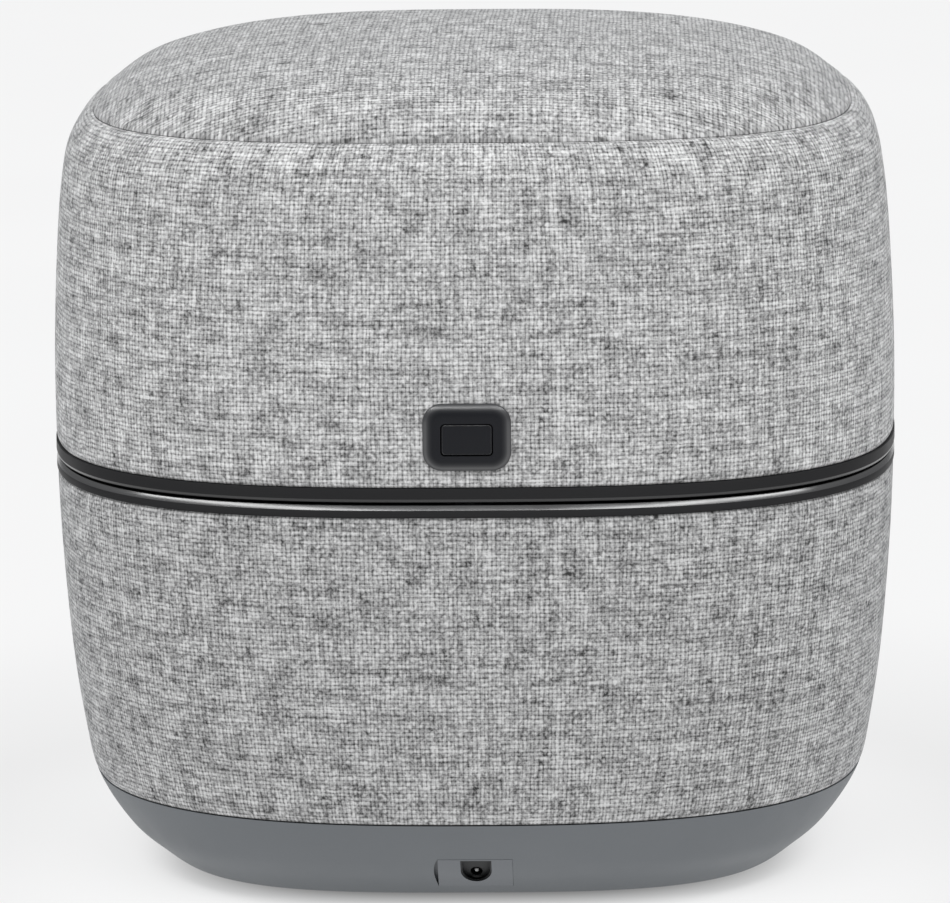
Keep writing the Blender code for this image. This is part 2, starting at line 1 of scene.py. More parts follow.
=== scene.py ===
"""The looks of a fabric-covered smart speaker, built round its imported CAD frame.

Lengths are in metres, +Z is up, and the latch button and power inlet face -Y.
Levels and widths come from the CAD nodes' boxes. The outline's points are the CAD source's own.
"""

import json
import math
from contextlib import contextmanager

import bmesh
import bpy
import numpy as np
from mathutils import Matrix, Vector


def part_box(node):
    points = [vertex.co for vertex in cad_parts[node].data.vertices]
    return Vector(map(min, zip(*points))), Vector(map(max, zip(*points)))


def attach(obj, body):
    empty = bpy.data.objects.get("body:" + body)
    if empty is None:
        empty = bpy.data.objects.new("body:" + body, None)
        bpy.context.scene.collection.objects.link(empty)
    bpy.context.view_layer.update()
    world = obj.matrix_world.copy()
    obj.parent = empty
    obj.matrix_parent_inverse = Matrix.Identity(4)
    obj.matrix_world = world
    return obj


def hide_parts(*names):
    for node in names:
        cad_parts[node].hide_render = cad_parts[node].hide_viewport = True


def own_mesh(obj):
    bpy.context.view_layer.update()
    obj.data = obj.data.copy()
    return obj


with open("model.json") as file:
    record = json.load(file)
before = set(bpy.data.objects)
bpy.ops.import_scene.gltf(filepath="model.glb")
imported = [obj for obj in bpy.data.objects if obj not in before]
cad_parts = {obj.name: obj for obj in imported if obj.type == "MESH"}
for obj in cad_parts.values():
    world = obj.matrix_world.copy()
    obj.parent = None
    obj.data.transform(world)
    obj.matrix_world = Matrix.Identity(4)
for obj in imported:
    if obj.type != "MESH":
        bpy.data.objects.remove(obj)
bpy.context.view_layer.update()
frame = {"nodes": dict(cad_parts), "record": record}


def low(node):
    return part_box(node)[0]


def high(node):
    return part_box(node)[1]


# Levels and widths from the frame.
BASE_BOTTOM, BASE_TOP = low("base_pan").z, high("base_pan").z
FABRIC_LOW, FABRIC_HIGH = low("lower_fabric").z, high("lower_fabric").z
LOWER_TRIM_LOW, LOWER_TRIM_HIGH = low("lower_trim").z, high("lower_trim").z
UPPER_TRIM_LOW, UPPER_TRIM_HIGH = low("upper_trim").z, high("upper_trim").z
COVER_LOW, SEAM = low("lid_side_fabric").z, high("lid_side_fabric").z
HEIGHT = high("lid_top_fabric").z
LOWER_BAND, UPPER_BAND = high("lower_trim").x, high("upper_trim").x
MIDDLE = (LOWER_TRIM_HIGH + UPPER_TRIM_LOW) / 2
BEZEL_MIDDLE = (low("latch_bezel").z + high("latch_bezel").z) / 2
BUTTON_MIDDLE = (low("latch_button").z + high("latch_button").z) / 2
LEAF = high("hinge_base_leaf").x

# The side view's outline, from the underside up and over to the middle of the top: half width, height.
OUTLINE = np.array([
    (0.0880, 0.0022), (0.0950, 0.0032), (0.1030, 0.0088), (0.1118, 0.0163), (0.1203, 0.0285),
    (0.1238, 0.0430), (0.1275, 0.0710), (0.1303, 0.1107), (0.1311, 0.1550), (0.1299, 0.1900),
    (0.1279, 0.2150), (0.1244, 0.2300), (0.1150, 0.2400), (0.0990, 0.2495), (0.0640, 0.2566),
    (0.0000, HEIGHT),
])
# How square the plan is at a height: the exponent of a superellipse.
SQUARENESS = [
    (0.0, 3.2), (0.030, 2.65), (0.075, 2.8), (0.130, 2.87), (0.200, 2.98), (0.238, 3.08), (0.262, 3.0),
]

# Points once round the body, and their angles from the middle of the back.
AROUND = 480
REAR = math.pi / 2
TURN = REAR + np.linspace(0.0, 2 * math.pi, AROUND, endpoint=False)
# One thread of the weave with its gap.
THREAD = 0.00132
# The bezel's neck, behind the fabric.
NECK_WIDTH, NECK_HEIGHT, NECK_CORNER = 0.0220, 0.0160, 0.0028
# The port plate's levels, and the middle and depth of the inlet in it.
PORT_LOW, PORT_HIGH = 0.0064, high("jack_plate").z
INLET_X, INLET_Z = 0.0010, 0.0119
POCKET_DEPTH = 0.0020
# Where cutting tools start and end: past the body, under the rims, and along Y at the base and at the latch.
PAST_BODY, UNDER_RIMS = 0.14, 0.12
BASE_FRONT, LATCH_FRONT = (-0.125, -0.085), (-0.14, -0.12)


# Outline and plan.


def outline(place):
    """(half width, height) at places along the outline, by Catmull and Rom's rule."""
    place = np.clip(np.asarray(place, float), 0.0, len(OUTLINE) - 1.0)
    last = len(OUTLINE) - 1
    index = np.minimum(place.astype(int), last - 1)
    share = (place - index)[..., None]
    before, start = OUTLINE[np.maximum(index - 1, 0)], OUTLINE[index]
    end, after = OUTLINE[index + 1], OUTLINE[np.minimum(index + 2, last)]
    return 0.5 * (
        2 * start
        + (end - before) * share
        + (2 * before - 5 * start + 4 * end - after) * share**2
        + (3 * start - before - 3 * end + after) * share**3
    )


def lengths_along(points):
    """The distance along a line of points, at each of them."""
    return np.concatenate([[0.0], np.cumsum(np.hypot(*np.diff(points, axis=0).T))])


def places_between(low_height, high_height, spacing):
    """Places on the outline between two heights, evenly spaced along it."""
    fine = np.linspace(0.0, len(OUTLINE) - 1.0, 6001)
    heights = outline(fine)[:, 1]
    first = fine[np.searchsorted(heights, low_height)]
    last = fine[-1] if high_height >= HEIGHT else fine[np.searchsorted(heights, high_height)]
    inside = np.linspace(first, last, 2001)
    along = lengths_along(outline(inside))
    count = max(int(along[-1] / spacing), 2)
    return np.interp(np.linspace(0.0, along[-1], count + 1), along, inside)


def inward(place):
    """The outline's unit normal, pointing into the body, as (half width, height)."""
    step = 0.02
    along = outline(np.asarray(place) + step) - outline(np.asarray(place) - step)
    along /= np.linalg.norm(along, axis=-1, keepdims=True)
    return np.stack([-along[..., 1], along[..., 0]], axis=-1)


def squareness(height):
    """The plan's exponent, eased from one level to the next so that no crease shows."""
    for (low_height, first), (high_height, second) in zip(SQUARENESS, SQUARENESS[1:]):
        if height <= high_height:
            share = min(max((height - low_height) / (high_height - low_height), 0.0), 1.0)
            return first + (second - first) * share * share * (3 - 2 * share)
    return SQUARENESS[-1][1]


def plan(exponent, angles):
    """Points of a superellipse of half width 1."""
    across, along = np.cos(angles), np.sin(angles)
    reach = (np.abs(across) ** exponent + np.abs(along) ** exponent) ** (-1 / exponent)
    return np.stack([across * reach, along * reach], axis=-1)


def seamed_turn():
    """Angles once round and back to the start, with more of them beside the rear seam."""
    beside = np.array([0.0030, 0.0060, 0.0090])
    once = np.linspace(0.0, 2 * math.pi, AROUND + 1)
    return REAR + np.sort(np.concatenate([once, beside, 2 * math.pi - beside]))


# Mesh making.


def collect(mesh_name, points, faces, uvs=None):
    """A new object from points and faces, with its weave coordinates if it has any."""
    mesh = bpy.data.meshes.new(mesh_name)
    mesh.from_pydata([tuple(p) for p in points], [], faces)
    if uvs is not None:
        layer = mesh.uv_layers.new(name="weave")
        layer.data.foreach_set("uv", np.asarray(uvs, np.float32).ravel())
    mesh.update()
    obj = bpy.data.objects.new(mesh_name, mesh)
    bpy.context.scene.collection.objects.link(obj)
    return obj


@contextmanager
def editing(obj):
    """Opens an object's mesh for bmesh work, and writes it back."""
    shape = bmesh.new()
    shape.from_mesh(obj.data)
    shape.verts.ensure_lookup_table()
    yield shape
    shape.to_mesh(obj.data)
    shape.free()


def smooth(obj, angle=40):
    """Shades an object smooth, but for edges sharper than an angle in degrees."""
    obj.data.shade_smooth()
    obj.data.set_sharp_from_angle(angle=math.radians(angle))
    return obj


def finish_piece(obj, body, slot, material, *nodes):
    """Gives a piece its material, a body to ride on, and the CAD nodes that it stands for."""
    obj.data.materials.clear()
    obj.data.materials.append(MATERIALS[material])
    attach(obj, body)
    if nodes:
        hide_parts(*nodes)


def skin(name, rows, closed_section=False, uv_u=None, uv_v=None):
    """A surface from rows of points, each row once round and closed on itself.

    rows has the shape (levels, columns, 3). A closed section joins the last row to the first.
    """
    levels, columns = rows.shape[:2]
    faces, uvs = [], []
    last = levels if closed_section else levels - 1
    for level in range(last):
        above = (level + 1) % levels
        here, there = level * columns, above * columns
        for column in range(columns):
            beside = (column + 1) % columns
            faces.append((here + column, here + beside, there + beside, there + column))
            if uv_u is not None:
                left, right = uv_u[column], uv_u[column + 1]
                uvs += [(left, uv_v[level]), (right, uv_v[level]), (right, uv_v[above]), (left, uv_v[above])]
    return collect(name, rows.reshape(-1, 3), faces, uvs if uv_u is not None else None)


def orient(obj):
    """Makes every face point out of the solid."""
    with editing(obj) as shape:
        bmesh.ops.recalc_face_normals(shape, faces=shape.faces)
    return obj


def merge(obj, distance):
    """Joins points that lie closer together than a distance."""
    with editing(obj) as shape:
        bmesh.ops.remove_doubles(shape, verts=shape.verts, dist=distance)
    return obj


def cap(obj, columns):
    """Closes both ends of a tube, whose rows have so many points."""
    with editing(obj) as shape:
        for start in (0, len(shape.verts) - columns):
            shape.faces.new([shape.verts[start + i] for i in range(columns)])
    return obj


def rows_round(rings):
    """Rows of points round the body from rings of (half width, height, the plan's exponent)."""
    return np.array([
        np.column_stack([plan(exponent, TURN) * half_width, np.full(AROUND, height)])
        for half_width, height, exponent in rings
    ])


def body_rows(section):
    """Rows of points round the body from (half width, height, the level whose plan the row takes)."""
    return rows_round([(half_width, height, squareness(level)) for half_width, height, level in section])


def ring_piece(name, section):
    """A solid ring round the body whose cross-section is a closed outline of (half width, height)."""
    rows = body_rows([(half_width, height, MIDDLE) for half_width, height in section])
    return orient(skin(name, rows, closed_section=True))


def lofted(name, rings):
    """A capped solid from rings of (half width, height, the plan's exponent), from one end to the other."""
    return orient(cap(skin(name, rows_round(rings)), AROUND))


def skin_band(name, low_height, high_height, front, back):
    """A closed band of the body's skin, between two depths below its surface."""
    places = places_between(low_height, high_height, 0.0005)
    points, normals = outline(places), inward(places)
    section = [(*(p + n * front), p[1]) for p, n in zip(points, normals)]
    section += [(*(p + n * back), p[1]) for p, n in zip(points, normals)][::-1]
    return orient(skin(name, body_rows(section), closed_section=True))


def arc(centre, radius, start, end, steps):
    """Points of an arc in a section, in degrees."""
    return [
        (centre[0] + radius * math.cos(math.radians(a)), centre[1] + radius * math.sin(math.radians(a)))
        for a in np.linspace(start, end, steps + 1)
    ]


def cut(obj, tool, operation="DIFFERENCE"):
    """Applies a Boolean and removes the tool."""
    modifier = obj.modifiers.new("cut", "BOOLEAN")
    modifier.operation = operation
    modifier.object = tool
    bpy.context.view_layer.update()
    graph = bpy.context.evaluated_depsgraph_get()
    made = bpy.data.meshes.new_from_object(obj.evaluated_get(graph))
    obj.modifiers.clear()
    obj.data = made
    bpy.data.objects.remove(tool)


def block(low_corner, high_corner):
    """A box to cut with."""
    low_corner, high_corner = Vector(low_corner), Vector(high_corner)
    middle, size = (high_corner + low_corner) / 2, high_corner - low_corner
    tool = collect("tool", [], [])
    with editing(tool) as shape:
        bmesh.ops.create_cube(shape, size=1.0)
        placed = Matrix.Translation(middle) @ Matrix.Diagonal((*size, 1))
        bmesh.ops.transform(shape, matrix=placed, verts=shape.verts)
    return tool


def slot_tool(half_width, front, back, top):
    """A box that cuts a slot in the middle of a piece, from under the rims up to a level."""
    return block((-half_width, front, UNDER_RIMS), (half_width, back, top))


def rod(radius, start, end):
    """The profile of a plain cylinder, for turned()."""
    return [(0.0, start), (radius, start), (radius, end), (0.0, end)]


def turned(name, profile, axis, origin, steps=64):
    """A solid of revolution from (radius, distance along the axis), starting and ending on the axis."""
    angles = np.linspace(0.0, 2 * math.pi, steps, endpoint=False)
    rows = np.array([
        [(radius * math.cos(a), radius * math.sin(a), along) for a in angles] for radius, along in profile
    ])
    obj = orient(merge(skin(name, rows), 1e-7))
    turn = Vector((0, 0, 1)).rotation_difference(Vector(axis)).to_matrix().to_4x4()
    obj.data.transform(Matrix.Translation(origin) @ turn)
    return obj


def rounded_rectangle(width, height, radius, middle, steps=10):
    """Points of a rounded rectangle in X and Z."""
    points = []
    for quarter, (side, level) in enumerate([(1, 1), (-1, 1), (-1, -1), (1, -1)]):
        centre = (side * (width / 2 - radius), middle + level * (height / 2 - radius))
        points += arc(centre, radius, 90 * quarter, 90 * quarter + 90, steps)
    return points


def along_y(name, sections):
    """A capped solid along Y from outlines in X and Z, each given as (y, points)."""
    rows = np.array([[(x, y, z) for x, z in points] for y, points in sections])
    return orient(cap(skin(name, rows), rows.shape[1]))


def through(points, start, end):
    """A cutting tool along Y from an outline in X and Z."""
    return along_y("tool", [(start, points), (end, points)])


# Materials.


class Graph:
    """A short way to write a node material."""

    def __init__(self, name):
        self.material = bpy.data.materials.new(name)
        self.material.use_nodes = True
        self.tree = self.material.node_tree
        self.shader = self.tree.nodes["Principled BSDF"]

    def node(self, kind, **settings):
        made = self.tree.nodes.new(kind)
        for key, value in settings.items():
            setattr(made, key, value)
        return made

    def put(self, socket, value):
        if isinstance(value, bpy.types.NodeSocket):
            self.tree.links.new(value, socket)
        else:
            socket.default_value = value

    def put_all(self, made, *values):
        """Fills a node's first sockets, and gives its first output."""
        for socket, value in zip(made.inputs, values):
            self.put(socket, value)
        return made.outputs[0]

    def place(self):
        """A point's own coordinates on its object."""
        return self.node("ShaderNodeTexCoord").outputs["Object"]

    def parts(self, vector):
        made = self.node("ShaderNodeSeparateXYZ")
        self.put(made.inputs[0], vector)
        return made.outputs

    def join(self, x, y=0.0, z=0.0):
        return self.put_all(self.node("ShaderNodeCombineXYZ"), x, y, z)

    def math(self, operation, first, second=0.0, third=0.0):
        return self.put_all(self.node("ShaderNodeMath", operation=operation), first, second, third)

    def centred_noise(self, *settings):
        """Noise about nought."""
        return self.math("SUBTRACT", self.noise(*settings), 0.5)

    def noise(self, vector, scale, detail=2.0, roughness=0.5):
        made = self.node("ShaderNodeTexNoise", noise_dimensions="3D")
        self.put(made.inputs["Vector"], vector)
        made.inputs["Scale"].default_value = scale
        made.inputs["Detail"].default_value = detail
        made.inputs["Roughness"].default_value = roughness
        return made.outputs[0]

    def scale(self, value, from_low, from_high, to_low, to_high, smooth_step=False):
        kind = "SMOOTHSTEP" if smooth_step else "LINEAR"
        made = self.node("ShaderNodeMapRange", interpolation_type=kind)
        return self.put_all(made, value, from_low, from_high, to_low, to_high)

    def mix(self, share, first, second):
        made = self.node("ShaderNodeMix", data_type="FLOAT")
        self.put(made.inputs["Factor"], share)
        self.put(made.inputs["A"], first)
        self.put(made.inputs["B"], second)
        return made.outputs["Result"]

    def ramp(self, value, stops):
        made = self.node("ShaderNodeValToRGB")
        self.put(made.inputs[0], value)
        elements = made.color_ramp.elements
        while len(elements) < len(stops):
            elements.new(0.5)
        for element, (place, color) in zip(elements, stops):
            element.position = place
            element.color = (*color, 1.0)
        return made.outputs[0]

    def times(self, color, factor):
        """A colour, made lighter or darker by a factor."""
        made = self.node("ShaderNodeVectorMath", operation="SCALE")
        made.inputs[0].default_value = color
        self.put(made.inputs["Scale"], factor)
        return made.outputs[0]

    def bump(self, height, distance, strength=1.0):
        made = self.node("ShaderNodeBump")
        made.inputs["Strength"].default_value = strength
        made.inputs["Distance"].default_value = distance
        self.put(made.inputs["Height"], height)
        return made.outputs[0]

    def set(self, **values):
        """Sets the shader's sockets, and gives the material."""
        for key, value in values.items():
            self.put(self.shader.inputs[key.replace("_", " ").title().replace("Ior", "IOR")], value)
        return self.material


def grey(level):
    return (level, level, level)


def woven_fabric(name, brightness, contrast=1.0):
    """Heathered plain weave: light and dark runs follow each thread, and thin gaps part the threads,
    darkened with painted shade.
    """
    # How unevenly threads lie, then how they drift: a wave's width, length, reach in threads and seed.
    waves = ((0.0035, 0.0450, 1.20, 0.0), (0.0050, 0.0045, 0.60, 5.0))
    # Lengths along a thread of its long runs, flecks and changes in its gaps' painted shade, and a step
    # between lanes.
    long_run, fleck, gap_run, lane_step = 0.0120, 0.0030, 0.0032, 7.31
    long_strength, fleck_strength = 1.5, 1.3
    # The painted shade in a gap: its dark core and its end, in threads from the edge, and its weakest and
    # its full strength.
    gap_core, gap_end, gap_weak, gap_full = 0.05, 0.30, 0.28, 1.0
    # How much painted shade darkens a gap, and the hole where two gaps cross.
    gap_shade, hole_shade = 0.40, 0.70
    # Patches where neighbouring threads share a shade: width, height, seed and strength.
    patches = ((0.0150, 0.0028, 4.0, 1.85), (0.0030, 0.0150, 8.0, 1.55))
    tone_strength, grain_strength = 0.85 * contrast, 2.4 * contrast
    middle_tone, darkest, lightest = 1.06, 0.10, 1.55

    g = Graph(name)
    place = g.node("ShaderNodeUVMap", uv_map="weave").outputs[0]
    across, up, _ = g.parts(place)

    def wandering(position, other, seed):
        """Thread count at a position: threads lie unevenly and drift a little along their length."""
        shift = 0.0
        for width, length, reach, own_seed in waves:
            wide, long = g.math("DIVIDE", position, width), g.math("DIVIDE", other, length)
            spot = g.join(wide, seed + own_seed, long)
            shift = g.math("MULTIPLY_ADD", g.centred_noise(spot, 1.0, 1.0), reach, shift)
        return g.math("ADD", g.math("DIVIDE", position, THREAD), shift)

    def lane(index, along, seed, length):
        """A place in the noise that jumps from thread to thread and moves slowly along each."""
        return g.join(g.math("MULTIPLY_ADD", index, lane_step, seed), g.math("DIVIDE", along, length), seed)

    def yarns(count, along, seed):
        """(thread number, tone of the thread, painted shade of the gap beside it, height across it)"""
        thread = g.math("FLOOR", count)
        long_runs = g.centred_noise(lane(thread, along, seed, long_run), 1.0, 2.0, 0.55)
        flecks = g.centred_noise(lane(thread, along, seed + 3.0, fleck), 1.0, 1.0, 0.55)
        tone = g.math("MULTIPLY_ADD", long_runs, long_strength, g.math("MULTIPLY", flecks, fleck_strength))
        edge = g.math("FLOOR", g.math("ADD", count, 0.5))
        from_edge = g.math("ABSOLUTE", g.math("SUBTRACT", count, edge))
        changes = g.noise(lane(edge, along, seed + 17.0, gap_run), 1.0, 2.0, 0.55)
        strength = g.scale(changes, 0.36, 0.64, gap_weak, gap_full)
        line = g.scale(from_edge, gap_core, gap_end, 1.0, 0.0, smooth_step=True)
        arch = g.math("SINE", g.math("MULTIPLY", g.math("FRACT", count), math.pi))
        return thread, tone, g.math("MULTIPLY", line, strength), arch

    s, t = wandering(across, up, 3.0), wandering(up, across, 31.0)
    warp, warp_tone, warp_gap_shade, warp_arch = yarns(s, up, 11.0)
    weft, weft_tone, weft_gap_shade, weft_arch = yarns(t, across, 47.0)

    # Warp and weft take turns on top, as on a chessboard. The even number keeps the sum above nought.
    chessboard = g.math("MODULO", g.math("ADD", g.math("ADD", warp, weft), 20000.0), 2.0)
    sign = g.math("MULTIPLY_ADD", chessboard, 2.0, -1.0)
    rise, own_height = 0.40, 0.6
    warp_body = g.math("MULTIPLY", warp_arch, own_height)
    weft_body = g.math("MULTIPLY", weft_arch, own_height)
    warp_level = g.math("MULTIPLY_ADD", g.math("MULTIPLY", weft_arch, sign), rise, warp_body)
    weft_level = g.math("MULTIPLY_ADD", g.math("MULTIPLY", warp_arch, sign), -rise, weft_body)
    level = g.math("MAXIMUM", warp_level, weft_level)
    warp_on_top = g.scale(g.math("SUBTRACT", warp_level, weft_level), -0.25, 0.25, 0.15, 0.85)
    tone = g.mix(warp_on_top, weft_tone, warp_tone)

    light = g.math("MULTIPLY_ADD", tone, tone_strength, middle_tone)
    for width, height, seed, strength in patches:
        spot = g.join(g.math("DIVIDE", across, width), g.math("DIVIDE", up, height), seed)
        light = g.math("MULTIPLY_ADD", g.centred_noise(spot, 1.0, 3.0, 0.6), strength, light)
    light = g.math("MULTIPLY_ADD", g.centred_noise(place, 850.0, 2.0, 0.6), grain_strength, light)
    # Painted shade in the gaps between threads, darkest in the holes where two gaps cross.
    shaded_holes = g.math("MULTIPLY", g.math("POWER", warp_gap_shade, 0.7), g.math("POWER", weft_gap_shade, 0.7))
    for gap, depth in ((warp_gap_shade, gap_shade), (weft_gap_shade, gap_shade), (shaded_holes, hole_shade)):
        light = g.math("MULTIPLY", light, g.math("MULTIPLY_ADD", gap, -depth, 1.0))
    light = g.math("MINIMUM", g.math("MAXIMUM", light, darkest), lightest)
    color = g.times((1.0, 1.0, 1.0), g.math("MULTIPLY", light, brightness))

    relief = g.math("MULTIPLY_ADD", g.noise(place, 5200.0, 2.0), 0.25, level)
    return g.set(
        base_color=color, roughness=0.88, normal=g.bump(relief, 0.00022, 0.7), specular_ior_level=0.18,
        sheen_weight=0.10, sheen_roughness=0.45, sheen_tint=(0.90, 0.94, 1.0, 1.0),
    )


def moulded_plastic(name, color, roughness, grain=0.00002, grain_scale=2600.0, ior=1.5, edge_ior=None):
    """Plain plastic with a fine moulded grain, uneven gloss and faint handling marks.

    With an edge_ior, faces that turn away from Y are glossier, as on the bezel's domed rim.
    """
    g = Graph(name)
    place = g.place()
    cloud, speck = g.noise(place, 9.0, 3.0), g.noise(place, 900.0, 2.0)
    tint = g.scale(g.math("MULTIPLY_ADD", speck, 0.25, cloud), 0.3, 0.95, 0.94, 1.06)
    gloss = g.scale(g.noise(place, 60.0, 4.0), 0.3, 0.7, roughness - 0.04, roughness + 0.05)
    normal = g.bump(g.noise(place, grain_scale, 2.0), grain)
    if edge_ior:
        facing = g.parts(g.node("ShaderNodeTexCoord").outputs["Normal"])
        ior = g.scale(g.math("ABSOLUTE", facing[1]), 0.99, 0.90, ior, edge_ior)
    return g.set(base_color=g.times(color, tint), roughness=gloss, normal=normal, ior=ior)


def metal(name, color, roughness):
    """Plated or brushed metal, its gloss drawn out in fine lines along X."""
    g = Graph(name)
    place = g.place()
    stretch = g.node("ShaderNodeMapping")
    stretch.inputs["Scale"].default_value = (40.0, 1500.0, 1500.0)
    g.put(stretch.inputs["Vector"], place)
    lines = g.noise(stretch.outputs[0], 1.0, 2.0)
    gloss = g.scale(lines, 0.3, 0.7, roughness - 0.06, roughness + 0.08)
    tint = g.scale(g.noise(place, 120.0, 3.0), 0.3, 0.7, 0.92, 1.05)
    normal = g.bump(lines, 0.00001)
    return g.set(base_color=g.times(color, tint), roughness=gloss, metallic=1.0, normal=normal)


def felt():
    g = Graph("dark_felt")
    fluff = g.noise(g.place(), 1800.0, 4.0, 0.7)
    color = g.ramp(fluff, [(0.3, grey(0.018)), (0.55, grey(0.045)), (0.75, grey(0.11))])
    return g.set(base_color=color, roughness=0.95, normal=g.bump(fluff, 0.0003), sheen_weight=0.4)


MATERIALS = {
    "fabric": woven_fabric("heather_weave", 0.50, 1.03),
    # Painted shade: a darker copy of the same weave, for the top panel.
    "top_fabric": woven_fabric("heather_weave_shaded_top", 0.455),
    # Painted shade: a darker copy of the same weave, with more contrast, for the lower band.
    "lower_fabric": woven_fabric("heather_weave_shaded_lower", 0.44, 1.16),
    "base": moulded_plastic("base_grey", (0.145, 0.157, 0.169), 0.50),
    # Painted light: a slightly lighter copy of the base grey, for the port plate's flat face.
    "port": moulded_plastic("port_grey_painted_light", (0.156, 0.167, 0.181), 0.46),
    "trim": moulded_plastic("trim_black", (0.027, 0.027, 0.028), 0.36, grain=0.000002, ior=1.07),
    "chamfer": moulded_plastic("polished_chamfer", (0.020, 0.020, 0.021), 0.20, grain=0.000001, ior=1.95),
    "bevel": moulded_plastic("polished_bevel", (0.024, 0.024, 0.025), 0.24, grain=0.000001, ior=1.55),
    "satin": moulded_plastic(
        "latch_black", (0.0085, 0.0092, 0.0120), 0.37, grain=0.000003, ior=1.29, edge_ior=2.0
    ),
    "inner": moulded_plastic("inner_grey", (0.045, 0.046, 0.050), 0.5),
    "rubber": moulded_plastic("rubber", (0.012, 0.012, 0.012), 0.75, grain=0.00004),
    "felt": felt(),
    "steel": metal("plated_steel", (0.55, 0.55, 0.56), 0.28),
    "inlet": moulded_plastic("inlet_black", (0.020, 0.021, 0.022), 0.6),
    "pin": moulded_plastic("pin_plating", (0.60, 0.60, 0.60), 0.40),
    "hinge": metal("blackened_steel", (0.10, 0.10, 0.105), 0.34),
    "aluminium": metal("aluminium", (0.68, 0.69, 0.70), 0.35),
    "board": moulded_plastic("solder_mask", (0.010, 0.060, 0.025), 0.32),
    "cone": moulded_plastic("cone_paper", (0.022, 0.022, 0.024), 0.8, grain=0.00008, grain_scale=1200.0),
}


# Camera, light and floor.

AIM = Vector((0.0, 0.0, 0.130))


def towards(azimuth, elevation):
    """The unit vector at an angle from the front and an angle above the floor, in degrees."""
    a, e = math.radians(azimuth), math.radians(elevation)
    return Vector((math.sin(a) * math.cos(e), -math.cos(a) * math.cos(e), math.sin(e)))


def camera():
    distance, azimuth, elevation, roll = 2.227, 1.358, 9.92, -0.553
    across_in_frame, up_in_frame = -0.0007, -0.0066
    sensor, lens = 36.0, 267.2
    back = towards(azimuth, elevation)
    right = Vector((math.cos(math.radians(azimuth)), math.sin(math.radians(azimuth)), 0.0))
    up = back.cross(right)
    data = bpy.data.cameras.new("camera")
    data.sensor_width = sensor
    data.lens = lens
    data.clip_start, data.clip_end = 0.05, 50.0
    made = bpy.data.objects.new("camera", data)
    bpy.context.scene.collection.objects.link(made)
    place = Matrix.Translation(AIM + right * across_in_frame + up * up_in_frame + back * distance)
    turn = Matrix((right, up, back)).transposed().to_4x4()
    made.matrix_world = place @ turn @ Matrix.Rotation(math.radians(roll), 4, "Z")
    bpy.context.scene.camera = made


def sky():
    """Light from all round, dim near the horizon and brighter overhead."""
    horizon, zenith, dim, bright = 0.10, 0.80, 0.26, 0.66
    world = bpy.data.worlds.new("studio")
    world.use_nodes = True
    nodes, links = world.node_tree.nodes, world.node_tree.links
    direction = nodes.new("ShaderNodeTexCoord")
    height = nodes.new("ShaderNodeSeparateXYZ")
    links.new(direction.outputs["Generated"], height.inputs[0])
    dimmer = nodes.new("ShaderNodeMapRange")
    dimmer.interpolation_type = "SMOOTHSTEP"
    for socket, value in zip(list(dimmer.inputs)[1:], (horizon, zenith, dim, bright)):
        socket.default_value = value
    links.new(height.outputs["Z"], dimmer.inputs[0])
    links.new(dimmer.outputs[0], nodes["Background"].inputs["Strength"])
    nodes["Background"].inputs["Color"].default_value = (0.975, 0.985, 1.0, 1.0)
    bpy.context.scene.world = world
    bpy.context.scene.view_settings.view_transform = "Standard"


def lamps():
    """Two long softboxes, high on the left and on the right."""
    radiance, width, depth, reach, elevation = 7.10, 23.5, 2.6, 16.0, 53.0
    for name, azimuth in (("softbox_left", -56.0), ("softbox_right", 55.0)):
        light = bpy.data.lights.new(name, "AREA")
        light.shape = "RECTANGLE"
        light.size, light.size_y = width, depth
        light.energy = radiance * width * depth * math.pi
        lamp = bpy.data.objects.new(name, light)
        bpy.context.scene.collection.objects.link(lamp)
        lamp.location = towards(azimuth, elevation) * reach
        lamp.rotation_euler = (AIM - lamp.location).to_track_quat("-Z", "Y").to_euler()


def pale_floor():
    """A matt pale floor. It glows, so that it looks evenly lit. Beside the base the glow is a little
    stronger, a painted pool of light, and under the base it fades out, a painted contact shadow.
    """
    half = 12.0
    under, beside, clear = 0.069, 0.110, 0.180
    contact_shadow_share, glow_beside, glow_away = 0.06, 0.68, 0.595
    corners = [(-half, -half, 0), (half, -half, 0), (half, half, 0), (-half, half, 0)]
    floor = collect("floor", corners, [(0, 1, 2, 3)])
    g = Graph("pale_floor")
    place = g.place()
    tone = g.ramp(g.noise(place, 3.0, 2.0), [(0.3, grey(0.275)), (0.7, grey(0.285))])
    across, along, _ = g.parts(place)
    cubes = [g.math("POWER", g.math("ABSOLUTE", way), 3.0) for way in (across, along)]
    reach = g.math("POWER", g.math("ADD", *cubes), 1 / 3)
    # Painted light and shadow: more glow beside the base, fading to a painted contact shadow under it.
    fill = g.scale(reach, beside, clear, glow_beside, glow_away, smooth_step=True)
    glow = g.math("MULTIPLY", fill, g.scale(reach, under, beside, contact_shadow_share, 1.0, smooth_step=True))
    g.set(base_color=tone, roughness=0.9, specular_ior_level=0.1)
    g.set(emission_color=(0.99, 0.99, 0.99, 1.0), emission_strength=glow)
    floor.data.materials.append(g.material)


# Fabric covers.

THICK = 0.0011


def back_rows(count):
    """Which rows the unseen back of a cover keeps, from the last to the first: one in six, and both ends."""
    return sorted({0, count - 1, *range(0, count, 6)}, reverse=True)


def tucked(along, depth, roll_length):
    """How far a cover's edge dips below its surface, at distances from that edge."""
    return depth * np.clip(1 - along / roll_length, 0, 1) ** 2


